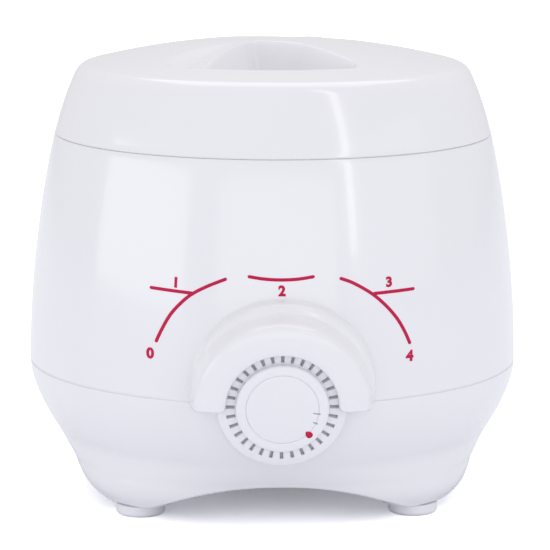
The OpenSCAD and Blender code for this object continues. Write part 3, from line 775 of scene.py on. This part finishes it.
def leg_block(sx, sy):
    ring = 48
    a = round_angles(ring)
    rows = []
    for z, shrink in ((4.03, 0.5), (4.3, 0.1), (8.0, 0.0), (13.8, 0.0)):
        x, y = sx * FOOT_AT + 11.3 * np.cos(a), sy * FOOT_AT + 11.3 * np.sin(a)
        limit = plan_radius(np.full(ring, max(z, 4.6)), np.arctan2(y, x)) - 1.3 - shrink
        scale = np.minimum(1.0, limit / np.hypot(x, y))
        rows.append(np.stack([x * scale, y * scale, np.full(ring, z)], -1))
    faces = grid_faces(4, ring) + [tuple(range(ring)), tuple(range(3 * ring, 4 * ring))]
    return np.concatenate(rows), faces


def dial_panel():
    p, f = lathe(crisp([(7.0, -6.0), (22.4, -6.0), (22.4, -0.3), (22.1, 0.0), (7.2, 0.0), (7.0, -0.2),
                        (7.0, -6.0)])[:-1], 128)
    return from_dial(p[:, 0], p[:, 1], p[:, 2]), f


def gland_pad():
    p, f = lathe(crisp([(6.5, 74.0), (10.5, 74.0), (10.5, 85.4), (10.0, 86.0), (6.7, 86.0), (6.5, 85.8),
                        (6.5, 74.0)])[:-1], 96)
    return np.stack([p[:, 0], p[:, 2], 30.0 + p[:, 1]], -1), f


base_parts = [build_base(), dial_panel(), gland_pad()]
base_parts += [leg_block(sx, sy) for sx in (-1, 1) for sy in (-1, 1)]
base_moulding = piece_from("base_moulding", *placed(base_parts), merge=1e-7)

# %% [markdown]
# ## The floor of the base, with its vents
# Thirty-six short slots in two rings let air up into the housing. What repeats by a rule is best
# made with Geometry Nodes: one slot is drawn, and a tree with named inputs copies it round the axis.
# The slots are then cut from a disc, and the result is turned into a plain mesh.

# %% Geometry Nodes helpers
class Tree:
    """A Geometry Nodes tree under construction, with its inputs by name."""

    def __init__(self, name):
        self.group = bpy.data.node_groups.new(name, "GeometryNodeTree")
        self.group.interface.new_socket("Geometry", in_out="OUTPUT", socket_type="NodeSocketGeometry")
        self.entry = self.group.nodes.new("NodeGroupInput")
        self.exit = self.group.nodes.new("NodeGroupOutput")
        self.ids = {}

    def ask(self, name, kind, default):
        item = self.group.interface.new_socket(name, in_out="INPUT", socket_type=kind)
        if default is not None:
            item.default_value = default
        self.ids[name] = item.identifier
        return self.entry.outputs[name]

    def add(self, kind, settings=None, inputs=None):
        n = self.group.nodes.new(kind)
        for key, value in (settings or {}).items():
            setattr(n, key, value)
        for key, value in (inputs or {}).items():
            if isinstance(value, bpy.types.NodeSocket):
                self.group.links.new(value, n.inputs[key])
            else:
                n.inputs[key].default_value = value
        return n


def round_copies(name):
    """Copies an object round the upright axis, joins the copies and welds what touches."""
    t = Tree(name)
    part = t.ask("Part", "NodeSocketObject", None)
    count = t.ask("Count", "NodeSocketInt", 8)
    turn = t.ask("Turn between copies", "NodeSocketFloat", 0.1)
    weld = t.ask("Weld distance", "NodeSocketFloat", 0.000001)
    finish = t.ask("Finish", "NodeSocketMaterial", None)
    line = t.add("GeometryNodeMeshLine", {"mode": "OFFSET"}, {"Count": count, "Offset": (0.0, 0.0, 0.0)})
    source = t.add("GeometryNodeObjectInfo", {}, {"Object": part})
    index = t.add("GeometryNodeInputIndex")
    angle = t.add("ShaderNodeMath", {"operation": "MULTIPLY"}, {0: index.outputs[0], 1: turn})
    euler = t.add("ShaderNodeCombineXYZ", {}, {"Z": angle.outputs[0]})
    copies = t.add("GeometryNodeInstanceOnPoints", {}, {
        "Points": line.outputs[0], "Instance": source.outputs["Geometry"], "Rotation": euler.outputs[0]})
    real = t.add("GeometryNodeRealizeInstances", {}, {"Geometry": copies.outputs[0]})
    joined = t.add("GeometryNodeMergeByDistance", {}, {"Geometry": real.outputs[0], "Distance": weld})
    painted = t.add("GeometryNodeSetMaterial", {}, {"Geometry": joined.outputs[0], "Material": finish})
    t.group.links.new(painted.outputs[0], t.exit.inputs[0])
    return t


def grown(name, tree, values):
    """Runs a tree on an empty mesh, and returns what it made as a plain mesh object."""
    obj = put(name + "_seed", bpy.data.meshes.new(name + "_seed"))
    mod = obj.modifiers.new(name, "NODES")
    mod.node_group = tree.group
    for key, value in values.items():
        mod[tree.ids[key]] = value
    solid = plain_mesh(obj)
    bpy.data.objects.remove(obj)
    print("%-18s %6d points from the tree" % (name, len(solid.vertices)))
    return put(name, solid)


def drawn(name, points, faces):
    """A helper mesh in metres, drawn around the upright axis at the origin."""
    mesh = mesh_from(name, np.asarray(points, float) * MM, faces)
    mesh.update()
    return put(name, mesh)


copy_round = round_copies("copies round an axis")


# %% Cut the vents in the floor
def slot_cutter(inner, outer, width):
    ends = 8
    r = width / 2
    outline = [(outer - r + r * math.cos(a), r * math.sin(a))
               for a in np.linspace(-math.pi / 2, math.pi / 2, ends)]
    outline += [(inner + r + r * math.cos(a), r * math.sin(a))
                for a in np.linspace(math.pi / 2, 1.5 * math.pi, ends)]
    return plate(outline, FLOOR_LOW - 1, FLOOR_TOP + 1)


cutter_part = drawn("slot", *placed([slot_cutter(18, 29, 3), slot_cutter(34, 45, 3)]))
cutters = grown("slots", copy_round, {
    "Part": cutter_part, "Count": 18, "Turn between copies": math.radians(20),
    "Weld distance": 0.0000001, "Finish": shell_white})
cutters.data.transform(Matrix.Translation((0, AXIS_Y, 0)))
floor_outline = crisp([(0.02, FLOOR_LOW), (68.4, FLOOR_LOW), (68.4, FLOOR_TOP), (0.02, FLOOR_TOP)])
DISC_COLS = 144
disc_pts, disc_faces = lathe(floor_outline, DISC_COLS, closed=False)
last_row = (len(floor_outline) - 1) * DISC_COLS
disc_faces += [tuple(range(DISC_COLS)), tuple(range(last_row, last_row + DISC_COLS))]
floor_disc = piece_from("floor_disc", disc_pts, disc_faces)
cut = floor_disc.modifiers.new("vents", "BOOLEAN")
cut.operation, cut.solver, cut.object = "DIFFERENCE", "EXACT", cutters
vented = plain_mesh(floor_disc)
bm = bmesh.new()
bm.from_mesh(base_moulding.data)
keep_smooth = len(bm.faces)
bm.from_mesh(vented)
bm.faces.ensure_lookup_table()
for f in bm.faces[keep_smooth:]:
    f.smooth = False
bm.to_mesh(base_moulding.data)
bm.free()
for helper in (cutter_part, cutters, floor_disc):
    bpy.data.objects.remove(helper)
wear(base_moulding, shell_white)
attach(base_moulding, "body")
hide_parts("base_shell")
print("base:", len(base_moulding.data.polygons), "faces")

# %% [markdown]
# ## The feet
# Four soft pads plug into the legs. They are round with a rolled edge, and a shallow cup under each
# lets it grip. One pad is drawn and the same tree as before turns it into the four corners.

# %% Grow the feet
rolled = smooth_line([(0.02, 0.7), (5.0, 0.7), (6.0, 0.35), (6.9, 0.02), (7.7, 0.12), (8.45, 0.55),
                      (8.8, 1.3), (8.8, 2.4)], 4)
plug = [(8.8, 3.75), (8.6, 3.95), (4.0, 4.0), (4.0, 9.0), (0.02, 9.0)]
pad_pts, pad_faces = capped_lathe(crisp(rolled.tolist() + plug, 0.1), 64)
pad_pts = pad_pts + np.array([FOOT_AT, FOOT_AT, 0.0])
pad_part = drawn("pad", pad_pts, pad_faces)
feet = grown("rubber_feet", copy_round, {
    "Part": pad_part, "Count": 4, "Turn between copies": math.radians(90),
    "Weld distance": 0.0000001, "Finish": foot_rubber})
bpy.data.objects.remove(pad_part)


def finish_mesh(obj, move):
    """Moves a grown mesh into place, points its faces outwards and smooths it."""
    obj.data.transform(move)
    bm = bmesh.new()
    bm.from_mesh(obj.data)
    bmesh.ops.recalc_face_normals(bm, faces=bm.faces)
    for f in bm.faces:
        f.smooth = True
    bm.to_mesh(obj.data)
    bm.free()
    obj.data.update()


finish_mesh(feet, Matrix.Translation((0, AXIS_Y, 0)))
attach(feet, "body")
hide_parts("foot_front_left", "foot_front_right", "foot_back_left", "foot_back_right")

# %% [markdown]
# ## The dial
# The dial is a skirted knob: a wide flange, a ring of thirty-two slots to grip, a raised middle and a
# face cap. One slot with its share of the ring is drawn as a wedge, and the tree welds thirty-two of
# them into a closed ring, so every slot is the same and sits on its own step. The hub has no bore, so
# the shaft runs into it.

# %% Draw one wedge of the knob
SLOTS = 32
RING = 3.4

def knob_wedge():
    half = math.pi / SLOTS
    skirt = crisp([(5.4, -2.4), (5.4, RING), (14.4, RING), (14.4, 0.9), (20.6, 0.9), (20.9, 0.5),
                   (22.2, 0.5), (22.5, 0.8), (22.5, 2.2), (22.3, 2.75), (21.8, 3.0), (20.5, 3.22),
                   (20.1, 3.34), (19.85, RING)], 0.1)
    slot = np.array([(19.65, RING), (19.55, 3.32), (19.5, 3.2), (19.5, 1.8), (19.35, 1.65),
                     (16.55, 1.65), (16.4, 1.8), (16.4, 3.2), (16.35, 3.32), (16.25, RING)])
    middle = crisp([(16.18, 3.42), (16.1, 3.5), (16.1, 5.2), (15.95, 5.65), (15.6, 5.98), (15.1, 6.12),
                    (14.5, 6.16), (13.6, 6.16), (13.1, 6.15), (12.8, 6.08), (12.62, 5.96),
                    (12.6, 5.85), (12.6, 4.8), (0.3, 4.8), (0.3, -2.4), (5.4, -2.4)], 0.1)[:-1]
    outline = np.concatenate([skirt, slot, middle])
    k0, k1 = len(skirt), len(skirt) + len(slot)
    points = []
    right = [0.027, 0.033, 0.04, (half + 0.04) / 2, half]
    sides = [-a for a in right[::-1]] + [0.0] + right
    for i, (r, h) in enumerate(outline):
        for a in sides:
            if k0 <= i < k1 and abs(a) > 0.03:
                h_here = 3.32 if abs(a) < 0.035 else RING
            else:
                h_here = h
            points.append((r * math.cos(a), r * math.sin(a), h_here))
    cols = len(sides)
    faces = grid_faces(len(outline), cols, close_rows=True, close_cols=False)
    return points, faces


wedge = drawn("wedge", *knob_wedge())
knob = grown("dial_knob_moulding", copy_round, {
    "Part": wedge, "Count": SLOTS, "Turn between copies": 2 * math.pi / SLOTS,
    "Weld distance": 0.000004, "Finish": knob_white})
bpy.data.objects.remove(wedge)

# %% [markdown]
# The slots' floors and walls wear a greyer finish than the knob: this is painted shade, standing in for the
# shade that gathers in the slots. It is the same plastic with the tint pulled down where the wedge dips below
# the ring.

# %% Place the knob and its cap
# Painted shade: a greyer finish for the faces down in the slots.
painted_slot_shade = grained("painted_slot_shade", (0.56, 0.56, 0.60), (0.63, 0.63, 0.67), 0.5, 900.0, 0.00003)
wear(knob, knob_white, painted_slot_shade)
# The faces inside the slots, below the ring, take the painted shade.
for f in knob.data.polygons:
    c = f.center / MM
    rho = math.hypot(c.x, c.y)
    f.material_index = int(16.38 < rho < 19.52 and 1.2 < c.z < 3.1 and f.normal.z > -0.9)
print("shaded slot faces:", sum(f.material_index for f in knob.data.polygons))
finish_mesh(knob, dial_matrix())
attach(knob, "dial")
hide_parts("dial_knob")


def on_dial(name, parts):
    p, f = placed(parts)
    return piece_from(name, from_dial(p[:, 0], p[:, 1], p[:, 2]), f, merge=1e-7)


cap_outline = crisp([(0.02, 4.85), (12.58, 4.85), (12.58, 5.85), (12.55, 5.96), (12.38, 6.08), (12.0, 6.15),
                     (0.02, 6.16)], 0.15)
cap = on_dial("dial_face", [capped_lathe(cap_outline, 128)])
wear(cap, knob_white)
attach(cap, "dial")
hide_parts("dial_cap")

# %% [markdown]
# ## Marks on the dial
# A red drop points at the setting, with two fine grey ticks beside it. They are inked into the face,
# so each is a very thin plate that follows it.

# %% Draw the pointer and ticks
pointer_red = grained("pointer_red", (0.52, 0.008, 0.05), (0.60, 0.014, 0.07), 0.4, 800.0, 0.00001, 0.2)
tick_grey = grained("tick_grey", (0.36, 0.36, 0.40), (0.44, 0.44, 0.48), 0.4, 800.0, 0.00001)


def turned(points, angle, shift):
    c, s = math.cos(angle), math.sin(angle)
    return [((x + shift) * c - y * s, (x + shift) * s + y * c) for x, y in points]


drop = [(1.4 * math.cos(a), 1.15 * math.sin(a) * (1 + 0.28 * math.cos(a)))
        for a in np.linspace(0, 2 * math.pi, 40, endpoint=False)]
red_drop = on_dial("pointer", [plate(turned(drop, math.radians(-45.1), 12.95), 5.9, 6.21)])
wear(red_drop, pointer_red)
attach(red_drop, "dial")
bar = lambda half: [(-half, -0.2), (half, -0.2), (half, 0.2), (-half, 0.2)]
ticks = on_dial("ticks", [plate(turned(bar(1.25), math.radians(-7), 11.9), 5.9, 6.2),
                          plate(turned(bar(0.875), math.radians(-23.5), 12.4), 5.9, 6.2)])
wear(ticks, tick_grey)
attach(ticks, "dial")

# %% [markdown]
# ## The printed scale
# The scale on the housing is pad-printed in crimson: arcs that rise with the heat, short level lines,
# and plain numbers. Print has almost no thickness, but it lies on a curved wall. So each stroke is a
# thin strip whose points are laid on the barrel one by one, and each number is a text outline turned
# into a mesh and laid on in the same way.

# %% Lay strokes and numbers on the barrel
PRINT_IN = -0.12
print_crimson = grained("print_crimson", (0.50, 0.008, 0.066), (0.56, 0.014, 0.080),
                        0.45, 700.0, 0.000005, 0.15)


def on_barrel(x, z, out):
    x, z = np.asarray(x, float), np.asarray(z, float)
    r = side_r(z)
    slope = side_r(z + 0.5) - side_r(z - 0.5)
    y = -np.sqrt(r * r - x * x)
    n = np.stack([x / r, y / r, -slope], -1)
    n /= np.linalg.norm(n, axis=-1, keepdims=True)
    return np.stack([x, y, z], -1) + n * np.asarray(out, float)[..., None]


def stroke(path, width):
    """A strip with round ends along points given as [across, height]."""
    line = smooth_line(path, 14) if len(path) > 2 else np.linspace(path[0], path[1], 26)
    along = np.concatenate([[0], np.cumsum(np.hypot(*np.diff(line, axis=0).T))])
    total = along[-1]
    ends = width / 2 * (1 - np.cos(np.linspace(0, math.pi / 2, 7)))
    middle = np.linspace(width / 2, total - width / 2, 60)
    s = np.unique(np.round(np.concatenate([ends, middle, total - ends]), 6))
    x, z = np.interp(s, along, line[:, 0]), np.interp(s, along, line[:, 1])
    dx, dz = np.gradient(x, s), np.gradient(z, s)
    size = np.hypot(dx, dz)
    near = np.minimum(np.minimum(s, total - s), width / 2)
    w = np.sqrt(np.maximum((width / 2) ** 2 - (width / 2 - near) ** 2, 1e-4))
    section = ((-1, PRINT_IN), (-1, 0.05), (-0.9, 0.07), (0, 0.075), (0.9, 0.07), (1, 0.05), (1, PRINT_IN))
    rows = [on_barrel(x - side * w * dz / size, z + side * w * dx / size, out) for side, out in section]
    count, cols = len(rows), len(s)
    faces = grid_faces(count, cols, close_rows=True, close_cols=False)
    faces += [tuple(k * cols for k in range(count)), tuple(k * cols + cols - 1 for k in range(count))]
    return np.concatenate(rows), faces


STROKE = 1.15
scale_lines = [
    [(-43.38, 68.09), (-41.08, 73.17), (-37.96, 78.62), (-33.82, 83.29), (-30.13, 86.23), (-24.97, 89.02),
     (-18.86, 91.63)],
    [(-45.38, 86.94), (-30.4, 86.08)],
    [(-11.78, 92.6), (-6.14, 91.79), (-0.32, 91.5), (5.53, 91.72), (11.3, 92.53)],
    [(19.91, 91.7), (24.73, 89.75), (30.97, 85.93), (35.9, 81.62), (40.17, 76.6), (43.02, 71.77),
     (45.17, 66.9)],
    [(31.67, 85.67), (46.7, 86.06)],
]
numbers = [("0", -45.29, 64.16, 4.0, 0.0), ("1", -36.34, 89.44, 3.7, -3.0), ("2", 0.0, 87.77, 3.8, 0.0),
           ("3", 37.38, 89.31, 3.7, 3.0), ("4", 44.95, 62.9, 4.0, 0.0)]


def number(text, x, z, height, turn):
    curve = bpy.data.curves.new("number", "FONT")
    curve.body, curve.align_x, curve.align_y = text, "CENTER", "CENTER"
    curve.size, curve.offset, curve.resolution_u = 1.0, 0.05, 6
    obj = put("number", curve)
    flat = plain_mesh(obj)
    bpy.data.objects.remove(obj)
    v = np.array([p.co[:2] for p in flat.vertices])
    v = (v - (v.max(0) + v.min(0)) / 2) * height / (v[:, 1].max() - v[:, 1].min())
    c, s = math.cos(math.radians(turn)), math.sin(math.radians(turn))
    px, pz = x + v[:, 0] * c - v[:, 1] * s, z + v[:, 0] * s + v[:, 1] * c
    faces = [tuple(p.vertices) for p in flat.polygons]
    edge_use = {}
    for f in faces:
        for a, b in zip(f, f[1:] + f[:1]):
            edge_use.setdefault((min(a, b), max(a, b)), []).append((a, b))
    n = len(v)
    low, high = on_barrel(px, pz, np.full(n, PRINT_IN)), on_barrel(px, pz, np.full(n, 0.07))
    all_faces = [tuple(i + n for i in f) for f in faces] + [f[::-1] for f in faces]
    all_faces += [(a, b, b + n, a + n) for used in edge_use.values() if len(used) == 1 for a, b in used]
    return np.concatenate([low, high]), all_faces


scale_print = piece_from("printed_scale", *placed([stroke(line, STROKE) for line in scale_lines]
                                                  + [number(*row) for row in numbers]), merge=1e-8)
for f in scale_print.data.polygons:
    f.use_smooth = False
wear(scale_print, print_crimson)
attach(scale_print, "body")

# %% [markdown]
# ## What lies under the lid and inside
# The pot, the bowl and the electric parts already have their true shapes in the solid model, so
# their meshes stay as they are and only their finishes change.

# %% Finish the carried-over parts
carried = {
    "wax_pot": pot_metal, "heating_bowl": bowl_metal, "bowl_gasket": seal_rubber, "bowl_screws": steel,
    "heater_band": heater_metal, "clamp_screw": steel, "insulation_sleeve": insulation, "thermostat": ceramic,
    "thermostat_shaft": steel, "thermostat_screws": steel, "sensor_bulb": copper, "capillary_tube": copper,
    "bulb_clip": steel, "dial_clip": steel, "thermal_fuse": steel, "fuse_bracket": steel, "fuse_nut": steel,
    "terminal_block": terminal_plastic, "terminal_screws": brass, "cord_gland": black_nylon,
    "gland_nut": black_nylon, "case_screws": steel, "live_wire": wire_brown, "switched_wire": wire_black,
    "fused_wire": wire_black, "neutral_wire": wire_blue, "earth_wire": wire_green,
}
for name, material in carried.items():
    wear(frame["nodes"][name], material)
print("carried over:", len(carried))

# %% [markdown]
# ## The studio
# The warmer stands on a white sweep under large soft lamps. Two rules make the picture's white: the
# sweep is brighter and the room is pure white, but only for rays that come straight from the camera.
# Reflections and bounced light meet the plain sweep and room, so the white plastic keeps its tone.

# %% Floor and light
sweep_white = Finish("sweep_white")
plain = sweep_white.node("ShaderNodeBsdfDiffuse", {}, {"Color": (0.93, 0.935, 0.98, 1)})
seen = sweep_white.node("ShaderNodeBsdfDiffuse", {}, {"Color": (1.98, 1.98, 2.0, 1)})
glow = sweep_white.node("ShaderNodeEmission", {}, {"Color": (0.085, 0.085, 0.09, 1)})
sweep_white.end_by_ray(plain, sweep_white.node("ShaderNodeAddShader", {}, {0: seen, 1: glow}))
corners = [(6 * x, 6 * y, 0) for x, y in ((-1, -1), (1, -1), (1, 1), (-1, 1))]
sweep = put("sweep", mesh_from("sweep", corners, [(0, 1, 2, 3)]))
wear(sweep, sweep_white.material)

world = bpy.data.worlds.new("studio")
scene.world = world
world.use_nodes = True
room = Shader(world.node_tree, "ShaderNodeOutputWorld")
dim = room.node("ShaderNodeBackground", {}, {"Color": (0.98, 0.98, 1.0, 1), "Strength": 0.75})
white = room.node("ShaderNodeBackground", {}, {"Color": (1, 1, 1, 1), "Strength": 1.0})
room.end_by_ray(dim, white)


def panel(name, place, size, brightness):
    """A soft panel that looks at the warmer, equally bright whatever its size."""
    light = bpy.data.lights.new(name, "AREA")
    light.shape = "RECTANGLE"
    light.size, light.size_y = size
    light.energy = brightness * math.pi * size[0] * size[1]
    lamp = put(name, light)
    lamp.location = place
    lamp.rotation_euler = (Vector((0, 0, 0.08)) - Vector(place)).to_track_quat("-Z", "Y").to_euler()


panel("left_panel", (-1.9, -0.75, 0.36), (1.9, 0.66), 1.3)
panel("right_panel", (1.7, -1.0, 0.5), (1.8, 0.9), 0.30)
panel("front_panel", (0.0, -2.6, 0.45), (2.8, 0.85), 0.75)
panel("top_panel", (0.1, 0.7, 1.9), (2.0, 1.4), 1.15)
panel("window", (0.71, -0.97, 0.90), (0.10, 1.6), 3.2)

# %% [markdown]
# ## The camera
# The picture was taken from about ten degrees above, a little to the left, from just over a metre
# away. The lens and place were worked out from the ellipses of the two seams and the feet.

# %% Camera
camera_data = bpy.data.cameras.new("camera")
camera = put("camera", camera_data)
scene.camera = camera
eye = Vector((-0.0418, -1.1250 + AXIS_Y, 0.27531))
ahead = Vector((0.03655, 0.98430, -0.17270)).normalized()
turn = ahead.to_track_quat("-Z", "Y").to_matrix().to_4x4()
camera.matrix_world = Matrix.Translation(eye) @ turn @ Matrix.Rotation(math.radians(0.18), 4, "Z")
camera_data.sensor_fit = "HORIZONTAL"
SENSOR, LENS_PIXELS, PICTURE_PIXELS = 36.0, 3075.525, 550
camera_data.sensor_width = SENSOR
camera_data.lens = SENSOR * LENS_PIXELS / PICTURE_PIXELS
camera_data.shift_x = 0.0046
camera_data.clip_end = 50.0
scene.view_settings.view_transform = "Standard"
print("lens %.1f mm" % camera_data.lens)
